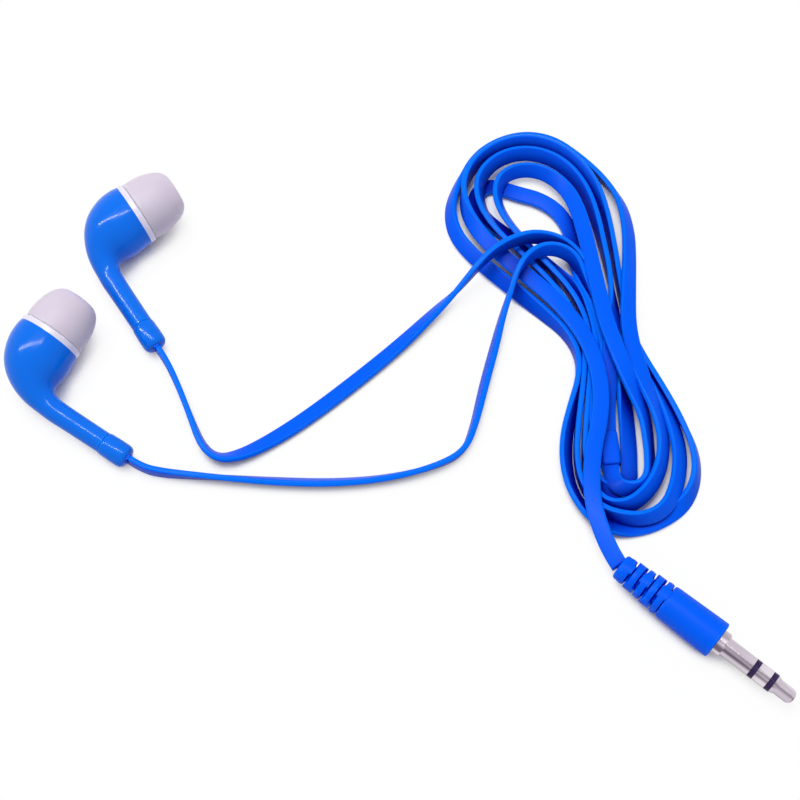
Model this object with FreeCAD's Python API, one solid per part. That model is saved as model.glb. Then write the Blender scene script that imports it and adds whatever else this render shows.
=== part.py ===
import FreeCAD, Part
import math
import os

# Wired in-ear earphones, lying loose on a table: two buds, a flat cord bundled
# in a pinched hank, and a moulded 3.5 mm stereo plug.
# Millimetres, +Z up. The origin is the bottom centre of the two buds' box.

V = FreeCAD.Vector
X_AXIS, Y_AXIS, Z_AXIS = V(1, 0, 0), V(0, 1, 0), V(0, 0, 1)

# ---- housing (bud frame: +X out of the ear tip, stem towards -Y, rim at X = 0)
RIM_R = 6.25            # outer radius of the housing's round rim
STEM_R = 2.5            # outer radius of the stem
WALL = 0.9              # moulded wall
ELBOW_BACK = 10.6       # rim plane back to the stem's axis
NECK_DROP = 7.4         # tip axis down to where the stem begins
STEM_END = 20.5         # tip axis to the seam at the stem's end
BELLY = 1.05            # how much the head swells behind its rim
STEM_LEAD = 1.6         # last section of the elbow to the straight stem

# ---- stem boot
BOOT_R = 2.6
BOOT_LENGTH = 5.8
BOOT_ROUND = 1.1
BOOT_SPIGOT = 3.0
FIT = 0.05              # clearance of pieces pushed or glued together

# ---- front cover and nozzle
COVER_RING = 1.15       # white ring seen between housing and ear tip
COVER_ROUND = 0.35
COVER_PLATE = 0.9
SPIGOT_DEPTH = 1.6
SPIGOT_WALL = 0.6
NOZZLE_R = 2.5
NOZZLE_BORE_R = 1.8
NOZZLE_LENGTH = 3.9
BARB_RISE = 0.25
BARB_LENGTH = 0.9
NOZZLE_CHAMFER = 0.3
MESH_SEAT = 0.25        # radial seat of the filter in the nozzle's mouth
MESH_THICK = 0.2
MESH_HOLE_R = 0.22
MESH_PITCH = 0.72

# ---- ear tip
TIP_R = 6.05            # widest radius of the skirt
TIP_LENGTH = 8.4        # skirt's hem to the nose
TIP_NOSE_R = 3.7
TIP_NOSE_ROUND = 1.3
TIP_WALL = 0.65
TIP_BORE_R = 2.05
TIP_SLEEVE_WALL = 0.8
TIP_GAP = 0.15          # hem and sleeve stand this far off the cover
TIP_RUN = 0.1           # radial running clearance on the barb

# ---- driver capsule
DRIVER_ROOM = 0.35      # the capsule's wall stands this far inside the housing's
DRIVER_R = RIM_R - WALL - DRIVER_ROOM
DRIVER_DEPTH = 2.2
DRIVER_FLOOR = 0.5
DRIVER_LIP = 0.6
YOKE_R = 0.68 * DRIVER_R
YOKE_WALL = 0.5
YOKE_DEPTH = 2.3
MAGNET_R = 0.47 * DRIVER_R
MAGNET_THICK = 1.1
PLATE_THICK = 0.4
PLATE_RISE = 0.1        # top plate stands this much wider than the magnet
COIL_GAP = 0.12
COIL_WALL = 0.14
COIL_HEIGHT = 1.0
MEMBRANE_THICK = 0.12
MEMBRANE_DOME = 0.5
BOARD_THICK = 0.5
BOARD_R = 0.52 * DRIVER_R
MEMBRANE_BACK = 0.55    # front lip of the capsule back to the film

# ---- flat cord
CORD_WIDTH = 3.1
CORD_THICK = 1.1
KNOT_R = 1.45
KNOT_BACK = 1.2         # knot's centre behind the boot's spigot
WIRE_R = 0.24
WIRE_SPACING = 1.1
WIRE_BEND = 3.2

# ---- plug (plug frame: +X towards the tip, X = 0 at the cord's end of the grip)
RELIEF_LENGTH = 10.3
RELIEF_REAR_R = 2.4
GRIP_REAR_R = 3.25
GRIP_FRONT_R = 3.5
GRIP_LENGTH = 10.6
GRIP_ROUND = 0.55
SLOT_WIDTH = 0.8
SLOT_FIRST = 2.0
SLOT_PITCH = 1.87
SLOT_COUNT = 5
CORE_R = 1.75           # solid core left under the slots
SPINE = 1.5
RIB = 0.55
SIDE_RIB = 2.0
COLLAR_R = 2.3
COLLAR_LENGTH = 1.5
COLLAR_CHAMFER = 0.25
SHAFT_R = 1.75
SHAFT_LENGTH = 14.0
SLEEVE_LENGTH = 5.5
INSULATOR_LENGTH = 1.0
RING_LENGTH = 2.4
TIP_SHOULDER = 0.55
TIP_SHOULDER_R = 1.68
TIP_SHOULDER_END_R = 1.5
TIP_NECK = 0.3
TIP_BARREL_R = 1.38
ROD_R = 0.42
TUBE_WALL = 0.2
SLEEVE_BORE_R = 1.1
BARREL_R = 2.1
BARREL_LENGTH = 3.0
MOLD_R = 2.45
MOLD_LENGTH = 8.0
LUG_LENGTH = 1.6

# ---- hank
HANK_HEIGHT = 8.0
SPLITTER = (11.0, 5.4, 2.6)
SPLITTER_ROUND = 1.0

# ---- places on the table: x, y, heading of the ear tip, tip rise, stem droop (degrees)
BUDS = {
    "left": (6.03, 21.83, 34.0, 6.0, 6.6),
    "right": (-7.67, -5.67, 57.0, 6.0, 6.6),
}

# Housing sections from rim to stem: share of the way back, share of the way
# down, share of the rim's radius over the stem's, tilt in degrees.
HOUSING_SECTIONS = (
    (0.00, 0.00, 1.000, 0.0),
    (0.29, 0.03, BELLY, 0.0),
    (0.61, 0.11, 0.850, 8.0),
    (0.84, 0.27, 0.625, 17.5),
    (0.96, 0.58, 0.375, 32.0),
    (1.00, 0.98, 0.140, 54.0),
    (1.00, 1.42, 0.030, 78.0),
)

# The plug's place: x, y of the cord's end of the grip, and heading of its axis
PLUG_PLACE = (97.2, -49.1, -40.2)
SPLITTER_PLACE = (96.5, -23.6, -83.0)

# ---- routes of the free cord, from each boot to the hank and from the hank to the plug
BEND_SHARE = 0.45       # share of the shorter run that a bend may use
BOOT_RUN = 3.0          # first straight run out of a boot
PLUG_RUN = 2.0          # last straight run into the grip
BRANCH_ROUTES = {
    "left": (
        (16.4, -13.0, 1.9), (19.2, -19.6, 1.6), (21.7, -25.4, 1.6), (24.8, -27.8, 1.6), (29.0, -27.0, 1.6),
        (34.4, -24.0, 1.6), (41.2, -19.1, 1.6), (49.6, -12.0, 1.6), (58.2, -4.2, 1.6), (66.0, 3.8, 1.6),
        (72.6, 10.2, 1.6), (75.6, 12.7, 1.6)),
    "right": (
        (15.0, -30.8, 1.9), (19.6, -31.1, 1.6), (26.0, -31.6, 1.6), (35.6, -32.3, 1.6), (45.6, -32.6, 1.6),
        (54.8, -31.8, 1.6), (62.8, -29.8, 1.6), (68.6, -26.0, 1.6), (72.0, -20.2, 1.6), (74.2, -13.0, 1.6),
        (76.4, -5.0, 1.6), (78.8, 1.6, 1.6), (81.4, 6.6, 1.6)),
}
PLUG_ROUTE = ((92.9, -36.5, 3.5), (93.6, -40.6, 3.5), (94.6, -44.4, 3.5))

# ---- the hank: its outline and the eyes of its two lobes
HANK_OUTLINE = (
    (67.5, 21.6), (70.2, 30.1), (77.0, 40.0), (84.3, 43.6), (91.6, 40.8), (100.0, 32.6), (104.7, 20.1),
    (103.9, 6.6), (102.6, -6.1), (108.6, -16.6), (113.7, -27.9), (112.2, -37.6), (103.8, -43.2),
    (95.9, -41.0), (90.6, -34.4), (88.8, -24.9), (90.7, -15.4), (92.3, -7.6), (84.6, 0.8), (73.4, 10.0))
HANK_EYES = (
    ((79.8, 28.1), (85.5, 31.6), (90.6, 29.6), (92.2, 21.1), (88.0, 15.6), (81.5, 20.6)),
    ((96.8, -17.9), (100.8, -23.9), (101.5, -31.4), (97.5, -33.9), (94.3, -28.9), (94.6, -21.4)))


def ring_wire(radius, centre, tilt=0.0):
    """A circle that faces +X, turned about Z by tilt degrees."""
    circle = Part.Circle(V(0, 0, 0), X_AXIS, radius)
    circle.rotate(FreeCAD.Placement(V(0, 0, 0), FreeCAD.Rotation(Z_AXIS, tilt)))
    circle.translate(centre)
    return Part.Wire(circle.toShape())


def rod(radius, start, length):
    """A cylinder along X, with its near face at start."""
    return Part.makeCylinder(radius, length, X_AXIS * start, X_AXIS)


def tube(outer, inner, start, length):
    return rod(outer, start, length).cut(rod(inner, start, length))


def turned(outline):
    """Revolve a closed outline of (x, r) points about the X axis."""
    wire = Part.makePolygon([V(x, r, 0) for x, r in outline + outline[:1]])
    return Part.Face(wire).revolve(V(0, 0, 0), X_AXIS, 360)


def soften(shape, radius, wanted):
    """Round the edges for which wanted(edge) is true."""
    edges = [edge for edge in shape.Edges if wanted(edge)]
    return shape.makeFillet(radius, edges)


def ring_edge(x, radius):
    """A test for the circular edge of that radius at that x."""
    def wanted(edge):
        curve = edge.Curve
        if not isinstance(curve, Part.Circle):
            return False
        return abs(curve.Center.x - x) < 1e-4 and abs(curve.Radius - radius) < 1e-4
    return wanted


# ------------------------------------------------------------------ the bud

def housing_solid(inset, stem_bottom):
    """The housing's outer form, or its cavity when inset by the wall."""
    centres = []
    rings = []
    for back, down, share, tilt in HOUSING_SECTIONS:
        centres.append(V(-ELBOW_BACK * back, -NECK_DROP * down, 0))
        rings.append((STEM_R + (RIM_R - STEM_R) * share - inset, tilt))
    stem_top = NECK_DROP * HOUSING_SECTIONS[-1][1] + STEM_LEAD
    centres.append(V(-ELBOW_BACK, -stem_top, 0))
    rings.append((STEM_R - inset, 90.0))
    spine = Part.BSplineCurve()
    spine.interpolate(Points=centres)
    skin = Part.BRepOffsetAPI.MakePipeShell(Part.Wire(spine.toShape()))
    for centre, (radius, tilt) in zip(centres, rings):
        skin.add(ring_wire(radius, centre, tilt), False, False)
    skin.build()
    skin.makeSolid()
    stem = Part.makeCylinder(STEM_R - inset, stem_bottom - stem_top, V(-ELBOW_BACK, -stem_top, 0), -Y_AXIS)
    return skin.shape().fuse(stem)


def housing():
    outside = housing_solid(0, STEM_END)
    cavity = housing_solid(WALL, STEM_END + 1.0)
    mouth = rod(RIM_R - WALL, -SPIGOT_DEPTH, SPIGOT_DEPTH + 1.0)
    return outside.cut(cavity).cut(mouth)


def boot():
    """Rounded sleeve at the stem's end, with a spigot in the stem and a slot for the flat cord."""
    bottom = STEM_END + BOOT_LENGTH
    body = Part.makeCylinder(BOOT_R, BOOT_LENGTH, V(-ELBOW_BACK, -STEM_END, 0), -Y_AXIS)
    body = soften(body, BOOT_ROUND, lambda edge: abs(edge.CenterOfMass.y + bottom) < 1e-4)
    spigot = Part.makeCylinder(STEM_R - WALL - FIT, BOOT_SPIGOT,
                               V(-ELBOW_BACK, -STEM_END + BOOT_SPIGOT, 0), -Y_AXIS)
    slot = Part.makeBox(CORD_THICK, bottom, CORD_WIDTH,
                        V(-ELBOW_BACK - CORD_THICK / 2, -bottom, -CORD_WIDTH / 2))
    return body.fuse(spigot).cut(slot)


def cord_end():
    """The cord's end inside the boot, and the knot that keeps it there."""
    bottom = STEM_END + BOOT_LENGTH
    knot_y = -STEM_END + BOOT_SPIGOT + KNOT_BACK
    strip = Part.makeBox(CORD_THICK, bottom + knot_y, CORD_WIDTH,
                         V(-ELBOW_BACK - CORD_THICK / 2, -bottom, -CORD_WIDTH / 2))
    bore = Part.makeCylinder(STEM_R - WALL - FIT, bottom, V(-ELBOW_BACK, 0, 0), -Y_AXIS)
    outside_stem = Part.makeBox(2 * BOOT_R, BOOT_LENGTH, 2 * BOOT_R,
                                V(-ELBOW_BACK - BOOT_R, -bottom, -BOOT_R))
    strip = strip.common(bore.fuse(outside_stem))
    knot = Part.makeSphere(KNOT_R, V(-ELBOW_BACK, knot_y, 0))
    cut_off = Part.makeBox(2 * KNOT_R, KNOT_R, 2 * KNOT_R,
                           V(-ELBOW_BACK - KNOT_R, knot_y - KNOT_BACK - KNOT_R, -KNOT_R))
    return strip.fuse(knot.cut(cut_off))


def lead_wires():
    """Two fine wires from the knot, round the elbow, to the terminal board."""
    wires = []
    board_back = driver_back() - BOARD_THICK
    start_y = -STEM_END + BOOT_SPIGOT + KNOT_BACK + KNOT_R
    for side in (-1, 1):
        z = side * WIRE_SPACING / 2
        low = V(-ELBOW_BACK, start_y, z)
        corner = V(-ELBOW_BACK, 0, z)
        end = V(board_back, 0, z)
        path = rounded_path([low, corner, end], [WIRE_BEND])
        profile = ring_wire(WIRE_R, low, 90.0)
        wires.append(path.makePipeShell([profile], True, False))
    return Part.makeCompound(wires)


def front_cover():
    """White ring, front plate, nozzle with its barb, and the spigot that plugs the housing."""
    spigot_r = RIM_R - WALL - FIT
    face = COVER_RING
    mouth = face + NOZZLE_LENGTH
    barb_r = NOZZLE_R + BARB_RISE
    seat_r = NOZZLE_BORE_R + MESH_SEAT
    body = turned([
        (-SPIGOT_DEPTH, spigot_r - SPIGOT_WALL), (-SPIGOT_DEPTH, spigot_r), (0, spigot_r), (0, RIM_R),
        (face, RIM_R), (face, NOZZLE_R), (mouth - BARB_LENGTH, NOZZLE_R), (mouth - BARB_LENGTH, barb_r),
        (mouth - NOZZLE_CHAMFER, barb_r), (mouth, NOZZLE_R), (mouth, seat_r), (mouth - MESH_THICK, seat_r),
        (mouth - MESH_THICK, NOZZLE_BORE_R), (face - COVER_PLATE, NOZZLE_BORE_R),
        (face - COVER_PLATE, spigot_r - SPIGOT_WALL)])
    return soften(body, COVER_ROUND, ring_edge(face, RIM_R))


def nozzle_mesh():
    """Pressed disc filter with rings of holes."""
    mouth = COVER_RING + NOZZLE_LENGTH
    disc = rod(NOZZLE_BORE_R + MESH_SEAT, mouth - MESH_THICK, MESH_THICK)
    holes = []
    for ring, count in ((0, 1), (1, 6), (2, 12)):
        for k in range(count):
            turn = 2 * math.pi * k / count
            centre = V(0, math.cos(turn), math.sin(turn)) * (ring * MESH_PITCH)
            holes.append(Part.makeCylinder(MESH_HOLE_R, 1, V(mouth - 0.7, 0, 0) + centre, X_AXIS))
    return disc.cut(Part.makeCompound(holes))


def ear_tip():
    """Soft tip: a domed skirt folded round a sleeve that grips the nozzle."""
    hem = COVER_RING + TIP_GAP
    nose = hem + TIP_LENGTH
    sleeve_in = NOZZLE_R + BARB_RISE + TIP_RUN
    sleeve_out = sleeve_in + TIP_SLEEVE_WALL
    nozzle_room = COVER_RING + NOZZLE_LENGTH + TIP_GAP
    outside = dome(hem, nose, TIP_R, TIP_NOSE_R, TIP_NOSE_ROUND)
    inside = dome(hem, nose - 1.6 * TIP_WALL, TIP_R - TIP_WALL, TIP_NOSE_R - TIP_WALL, TIP_NOSE_ROUND)
    skirt = outside.cut(inside)
    sleeve = rod(sleeve_out, hem, TIP_LENGTH).common(outside)
    body = skirt.fuse(sleeve)
    body = body.cut(rod(sleeve_in, hem - TIP_GAP, nozzle_room - hem + TIP_GAP))
    return body.cut(rod(TIP_BORE_R, hem - TIP_GAP, TIP_LENGTH + 2 * TIP_GAP)).removeSplitter()


def dome(hem, nose, wide, nose_r, rounding):
    """Revolved bell: a full skirt that curves in to a rounded nose."""
    skirt_end = hem + (nose - hem) * 0.36
    shoulder = V(nose - rounding * 0.45, nose_r, 0)
    side = Part.BSplineCurve()
    side.interpolate(Points=[V(hem, wide * 0.985, 0), V(skirt_end, wide, 0),
                             V(hem + (nose - hem) * 0.72, wide * 0.86, 0), shoulder])
    tip = Part.BSplineCurve()
    top = V(nose, nose_r - rounding, 0)
    tangent = side.tangent(side.LastParameter)[0]
    tip.interpolate(Points=[shoulder, top], Tangents=[tangent, V(0, -1, 0)], TangentFlags=[True, True])
    edges = [side.toShape(), tip.toShape(), Part.makeLine(top, V(nose, 0, 0)),
             Part.makeLine(V(nose, 0, 0), V(hem, 0, 0)), Part.makeLine(V(hem, 0, 0), V(hem, wide * 0.985, 0))]
    return Part.Face(Part.Wire(edges)).revolve(V(0, 0, 0), X_AXIS, 360)


def driver_front():
    return -SPIGOT_DEPTH


def driver_back():
    """Back face of the yoke's cup."""
    return driver_front() - DRIVER_DEPTH - YOKE_DEPTH + YOKE_WALL


def driver_parts():
    """Capsule of a moving-coil driver, from the frame to the terminal board."""
    front = driver_front()
    floor = front - DRIVER_DEPTH
    cup_front = floor + YOKE_WALL
    back = driver_back()
    plate_r = MAGNET_R + PLATE_RISE
    frame = turned([
        (floor, YOKE_R), (floor, DRIVER_R), (front, DRIVER_R), (front, DRIVER_R - DRIVER_LIP),
        (floor + DRIVER_FLOOR, DRIVER_R - DRIVER_LIP), (floor + DRIVER_FLOOR, YOKE_R)])
    yoke = rod(YOKE_R, back, cup_front - back).cut(
        rod(YOKE_R - YOKE_WALL, back + YOKE_WALL, cup_front - back))
    magnet = rod(MAGNET_R, back + YOKE_WALL, MAGNET_THICK)
    plate = rod(plate_r, back + YOKE_WALL + MAGNET_THICK, PLATE_THICK)
    coil_in = plate_r + COIL_GAP
    membrane_x = front - MEMBRANE_BACK
    coil = tube(coil_in + COIL_WALL, coil_in, membrane_x - COIL_HEIGHT, COIL_HEIGHT)
    board = rod(BOARD_R, back - BOARD_THICK, BOARD_THICK)
    return {
        "driver_frame": frame,
        "yoke": yoke,
        "magnet": magnet,
        "top_plate": plate,
        "voice_coil": coil,
        "diaphragm": diaphragm(membrane_x, coil_in + COIL_WALL),
        "terminal_board": board,
    }


def diaphragm(x, coil_r):
    """Domed film with a shallow roll outside the coil, clamped in the frame's wall."""
    edge = DRIVER_R - DRIVER_LIP
    middle = (coil_r + edge) / 2
    lower = [(x, coil_r), (x + MEMBRANE_DOME * 0.7, middle), (x, edge)]
    front = [Part.Arc(V(x + MEMBRANE_DOME + shift, 0, 0), V(x + MEMBRANE_DOME * 0.75 + shift, coil_r / 2, 0),
                      V(x + shift, coil_r, 0)).toShape() for shift in (0, MEMBRANE_THICK)]
    roll = [Part.Arc(*[V(px + shift, r, 0) for px, r in lower]).toShape() for shift in (0, MEMBRANE_THICK)]
    ends = [Part.makeLine(V(x, edge, 0), V(x + MEMBRANE_THICK, edge, 0)),
            Part.makeLine(V(x + MEMBRANE_DOME, 0, 0), V(x + MEMBRANE_DOME + MEMBRANE_THICK, 0, 0))]
    wire = Part.Wire(Part.__sortEdges__(front + roll + ends))
    return Part.Face(wire).revolve(V(0, 0, 0), X_AXIS, 360)


def bud_placement(place):
    """Head and boot both touch the table: heading, rise of the tip, droop of the stem."""
    x, y, heading, rise, droop = place
    turn = FreeCAD.Rotation(Z_AXIS, heading)
    turn = turn.multiply(FreeCAD.Rotation(Y_AXIS, -rise))
    turn = turn.multiply(FreeCAD.Rotation(X_AXIS, droop))
    placement = FreeCAD.Placement(V(x, y, 0), turn)
    outside = housing_solid(0, STEM_END)
    outside.Placement = placement
    low = outside.optimalBoundingBox().ZMin
    return FreeCAD.Placement(V(x, y, -low), turn)


def bud_parts():
    parts = {
        "housing": housing(),
        "boot": boot(),
        "cord_end": cord_end(),
        "lead_wires": lead_wires(),
        "front_cover": front_cover(),
        "nozzle_mesh": nozzle_mesh(),
        "ear_tip": ear_tip(),
    }
    parts.update(driver_parts())
    return parts


# ----------------------------------------------------------------- the plug

def relief_slots():
    """Staggered slots round the strain relief: pairs at the sides, then fours between thin ribs."""
    slots = []
    reach = 2 * GRIP_FRONT_R
    for i in range(SLOT_COUNT):
        start = SLOT_FIRST + i * SLOT_PITCH - SLOT_WIDTH / 2
        ring = tube(reach, CORE_R, start, SLOT_WIDTH)
        if i % 2 == 0:
            webs = [(SPINE, 2 * reach)]
        else:
            webs = [(RIB, 2 * reach), (2 * reach, SIDE_RIB)]
        for wide, high in webs:
            ring = ring.cut(Part.makeBox(SLOT_WIDTH, wide, high, V(start, -wide / 2, -high / 2)))
        slots.append(ring)
    return slots


def grip():
    """Moulded grip: slotted taper at the cord's end, then a plain round body, left bare."""
    end = RELIEF_LENGTH + GRIP_LENGTH
    body = turned([(0, 0), (0, RELIEF_REAR_R), (RELIEF_LENGTH, GRIP_REAR_R),
                   (end, GRIP_FRONT_R), (end, 0)])
    body = soften(body, GRIP_ROUND, ring_edge(end, GRIP_FRONT_R))
    body = soften(body, GRIP_ROUND * 0.7, ring_edge(0, RELIEF_REAR_R))
    body = body.cut(Part.makeCompound(relief_slots()))
    return body.cut(rod(MOLD_R, end - MOLD_LENGTH, MOLD_LENGTH))


def contacts():
    """Sleeve, ring and tip contacts, one inside the other, with their insulators."""
    face = RELIEF_LENGTH + GRIP_LENGTH
    shaft = face + COLLAR_LENGTH
    sleeve_end = shaft + SLEEVE_LENGTH
    ring_start = sleeve_end + INSULATOR_LENGTH
    ring_end = ring_start + RING_LENGTH
    tip_start = ring_end + INSULATOR_LENGTH
    tip_end = shaft + SHAFT_LENGTH
    back = face - BARREL_LENGTH
    inner = ROD_R + TUBE_WALL
    middle = inner + TUBE_WALL
    sleeve = turned([
        (back, SLEEVE_BORE_R), (back, BARREL_R), (face, BARREL_R), (face, COLLAR_R),
        (shaft - COLLAR_CHAMFER, COLLAR_R), (shaft, COLLAR_R - COLLAR_CHAMFER), (shaft, SHAFT_R),
        (sleeve_end, SHAFT_R), (sleeve_end, SLEEVE_BORE_R)])
    rear_insulator = turned([
        (back - LUG_LENGTH, middle), (back - LUG_LENGTH, SLEEVE_BORE_R), (sleeve_end, SLEEVE_BORE_R),
        (sleeve_end, SHAFT_R), (ring_start, SHAFT_R), (ring_start, middle)])
    ring = turned([
        (back - 2 * LUG_LENGTH, inner), (back - 2 * LUG_LENGTH, middle), (ring_start, middle),
        (ring_start, SHAFT_R), (ring_end, SHAFT_R), (ring_end, inner)])
    front_insulator = turned([
        (back - 2 * LUG_LENGTH, ROD_R), (back - 2 * LUG_LENGTH, inner), (ring_end, inner),
        (ring_end, SHAFT_R), (tip_start, SHAFT_R), (tip_start, ROD_R)])
    tip = turned([
        (back - 2.6 * LUG_LENGTH, 0), (back - 2.6 * LUG_LENGTH, ROD_R), (tip_start, ROD_R),
        (tip_start, TIP_SHOULDER_R), (tip_start + TIP_SHOULDER, TIP_SHOULDER_END_R),
        (tip_start + TIP_SHOULDER + TIP_NECK, TIP_BARREL_R), (tip_end, TIP_BARREL_R), (tip_end, 0)])
    tip = soften(tip, TIP_BARREL_R * 0.8, ring_edge(tip_end, TIP_BARREL_R))
    return {
        "plug_sleeve_contact": sleeve,
        "plug_rear_insulator": rear_insulator,
        "plug_ring_contact": ring,
        "plug_front_insulator": front_insulator,
        "plug_tip_contact": tip,
    }


def plug_parts():
    metal = contacts()
    end = RELIEF_LENGTH + GRIP_LENGTH
    mold = rod(MOLD_R, end - MOLD_LENGTH, MOLD_LENGTH)
    filled = rod(BARREL_R, end - BARREL_LENGTH, BARREL_LENGTH)
    for name in sorted(metal):
        mold = mold.cut(metal[name])
    parts = {"plug_grip": grip(), "plug_inner_mold": mold.cut(filled)}
    parts.update(metal)
    return parts


def plug_placement():
    x, y, heading = PLUG_PLACE
    return FreeCAD.Placement(V(x, y, GRIP_FRONT_R), FreeCAD.Rotation(Z_AXIS, heading))


# ----------------------------------------------------------------- the cord

def rounded_path(points, radii):
    """Straight runs joined by tangent arcs, one radius for each inner point."""
    edges = []
    here = points[0]
    for k, radius in enumerate(radii):
        before, corner, after = points[k], points[k + 1], points[k + 2]
        into = (corner - before).normalize()
        out = (after - corner).normalize()
        half = into.getAngle(out) / 2
        reach = radius * math.tan(half)
        start = corner - into * reach
        end = corner + out * reach
        towards = (out - into).normalize()
        middle = corner + towards * (radius / math.cos(half) - radius)
        if (start - here).Length > 1e-6:
            edges.append(Part.makeLine(here, start))
        edges.append(Part.Arc(start, middle, end).toShape())
        here = end
    edges.append(Part.makeLine(here, points[-1]))
    return Part.Wire(edges)


def flat_cord(name, points):
    """A flat cord standing on edge along straight runs and tangent arcs; prints its radii."""
    runs = [(b - a).Length for a, b in zip(points, points[1:])]
    radii = []
    for k in range(1, len(points) - 1):
        into = (points[k] - points[k - 1]).normalize()
        out = (points[k + 1] - points[k]).normalize()
        radii.append(BEND_SHARE * min(runs[k - 1], runs[k]) / math.tan(into.getAngle(out) / 2))
    path = rounded_path(points, radii)
    along = (points[1] - points[0]).normalize()
    side = along.cross(Z_AXIS).normalize()
    across = side * (CORD_THICK / 2)
    up = side.cross(along).normalize() * (CORD_WIDTH / 2)
    corners = [points[0] + across + up, points[0] - across + up,
               points[0] - across - up, points[0] + across - up]
    profile = Part.makePolygon(corners + corners[:1])
    sweep = Part.BRepOffsetAPI.MakePipeShell(path)
    sweep.setBiNormalMode(Z_AXIS)
    sweep.add(profile, False, False)
    sweep.build()
    sweep.makeSolid()
    cord = sweep.shape()
    print(name, "length %.1f mm, volume %.2f against section x length %.2f, radii"
          % (path.Length, cord.Volume, CORD_WIDTH * CORD_THICK * path.Length),
          " ".join("%.1f" % radius for radius in radii))
    return cord


def free_cords():
    """The stretches that lie free: each bud to the hank, and the hank to the plug."""
    exit_point = V(-ELBOW_BACK, -STEM_END - BOOT_LENGTH, 0)
    cords = {}
    for side, route in BRANCH_ROUTES.items():
        placement = bud_placement(BUDS[side])
        start = [placement.multVec(exit_point), placement.multVec(exit_point - Y_AXIS * BOOT_RUN)]
        cords[side + "_cord"] = flat_cord(side + "_cord", start + [V(*point) for point in route])
    plug = plug_placement()
    end = [plug.multVec(V(-PLUG_RUN, 0, 0)), plug.multVec(V(0, 0, 0))]
    cords["plug_cord"] = flat_cord("plug_cord", [V(*point) for point in PLUG_ROUTE] + end)
    return cords


def closed_curve(points):
    curve = Part.BSplineCurve()
    curve.interpolate(Points=[V(x, y, 0) for x, y in points], PeriodicFlag=True)
    return Part.Face(Part.Wire(curve.toShape()))


def splitter():
    """Small moulded block where the two branches join the main cord."""
    length, width, height = SPLITTER
    block = Part.makeBox(length, width, height, V(-length / 2, -width / 2, 0))
    block = soften(block, SPLITTER_ROUND, lambda edge: abs(edge.CenterOfMass.z - height / 2) < 1e-4)
    block = soften(block, SPLITTER_ROUND * 0.6, lambda edge: abs(edge.CenterOfMass.z - height) < 1e-4)
    x, y, heading = SPLITTER_PLACE
    block.Placement = FreeCAD.Placement(V(x, y, 0), FreeCAD.Rotation(Z_AXIS, heading))
    return block


def hank(inside):
    """Outer form of the folded cord: two open lobes and a pinch, round what goes into it."""
    band = closed_curve(HANK_OUTLINE)
    for eye in HANK_EYES:
        band = band.cut(closed_curve(eye))
    body = band.extrude(V(0, 0, HANK_HEIGHT))
    for piece in inside:
        body = body.cut(piece)
    return body


def main():
    os.makedirs("parts", exist_ok=True)
    shapes = {}
    local = bud_parts()
    for side, place in BUDS.items():
        placement = bud_placement(place)
        for name, shape in local.items():
            piece = shape.copy()
            piece.transformShape(placement.toMatrix(), False)
            shapes[side + "_" + name] = piece
    placement = plug_placement()
    for name, shape in plug_parts().items():
        shape.transformShape(placement.toMatrix(), False)
        shapes[name] = shape
    cords = free_cords()
    shapes.update(cords)
    shapes["splitter"] = splitter()
    shapes["cord_hank"] = hank(list(cords.values()) + [shapes["splitter"]])
    for name, shape in shapes.items():
        shape.exportStep("parts/" + name + ".step")
        print("%-26s %9.2f mm3, %d solid(s), valid %s"
              % (name, shape.Volume, len(shape.Solids), shape.isValid()))


main()
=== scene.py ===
import math
import bmesh
import bpy
from mathutils import Matrix, Vector


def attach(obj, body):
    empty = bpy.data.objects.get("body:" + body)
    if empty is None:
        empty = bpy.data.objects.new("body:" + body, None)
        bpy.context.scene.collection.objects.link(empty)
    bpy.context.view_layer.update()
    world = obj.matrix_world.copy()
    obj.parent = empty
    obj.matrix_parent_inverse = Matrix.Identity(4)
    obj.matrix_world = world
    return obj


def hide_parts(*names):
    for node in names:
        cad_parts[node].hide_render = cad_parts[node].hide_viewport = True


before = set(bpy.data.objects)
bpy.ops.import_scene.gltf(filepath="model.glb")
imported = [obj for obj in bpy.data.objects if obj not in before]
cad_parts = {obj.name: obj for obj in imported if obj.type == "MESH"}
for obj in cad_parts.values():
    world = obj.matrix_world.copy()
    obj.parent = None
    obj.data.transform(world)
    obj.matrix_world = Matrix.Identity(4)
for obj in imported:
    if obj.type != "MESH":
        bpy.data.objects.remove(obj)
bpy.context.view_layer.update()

MM = 0.001
CORD_WIDTH = 3.1 * MM
CORD_THICK = 1.1 * MM
CORD_EDGE = 0.34 * MM       # rounding of the flat cord's four edges
EDGE_STEPS = 4
PLUG_PLACE = (97.2, -49.1, 3.5)
PLUG_HEADING = -40.2        # degrees, about Z
SHARP_FROM = math.radians(38)   # edges that turn more than this stay sharp
BLACK = (0, 0, 0)
WHITE = (1, 1, 1)

# ---------------------------------------------------------------- the camera

LOOK_AT = Vector((0.05836, -0.01513, 0.0))
CAMERA_RISE = math.radians(65)
CAMERA_BACK = 0.253
HALF_VIEW = 0.30            # tangent of half the field of view

camera = bpy.data.objects.new("camera", bpy.data.cameras.new("camera"))
bpy.context.scene.collection.objects.link(camera)
camera.data.angle = 2 * math.atan(HALF_VIEW)
camera.data.clip_start = 0.005
camera.location = LOOK_AT + CAMERA_BACK * Vector((0, -math.cos(CAMERA_RISE), math.sin(CAMERA_RISE)))
camera.rotation_euler = (math.pi / 2 - CAMERA_RISE, 0, 0)
bpy.context.scene.camera = camera

# ----------------------------------------------------------------- the cords
# Each point is x, y, z in millimetres and the strap's twist in degrees: 0 lies flat, 90 stands on edge.

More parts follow.
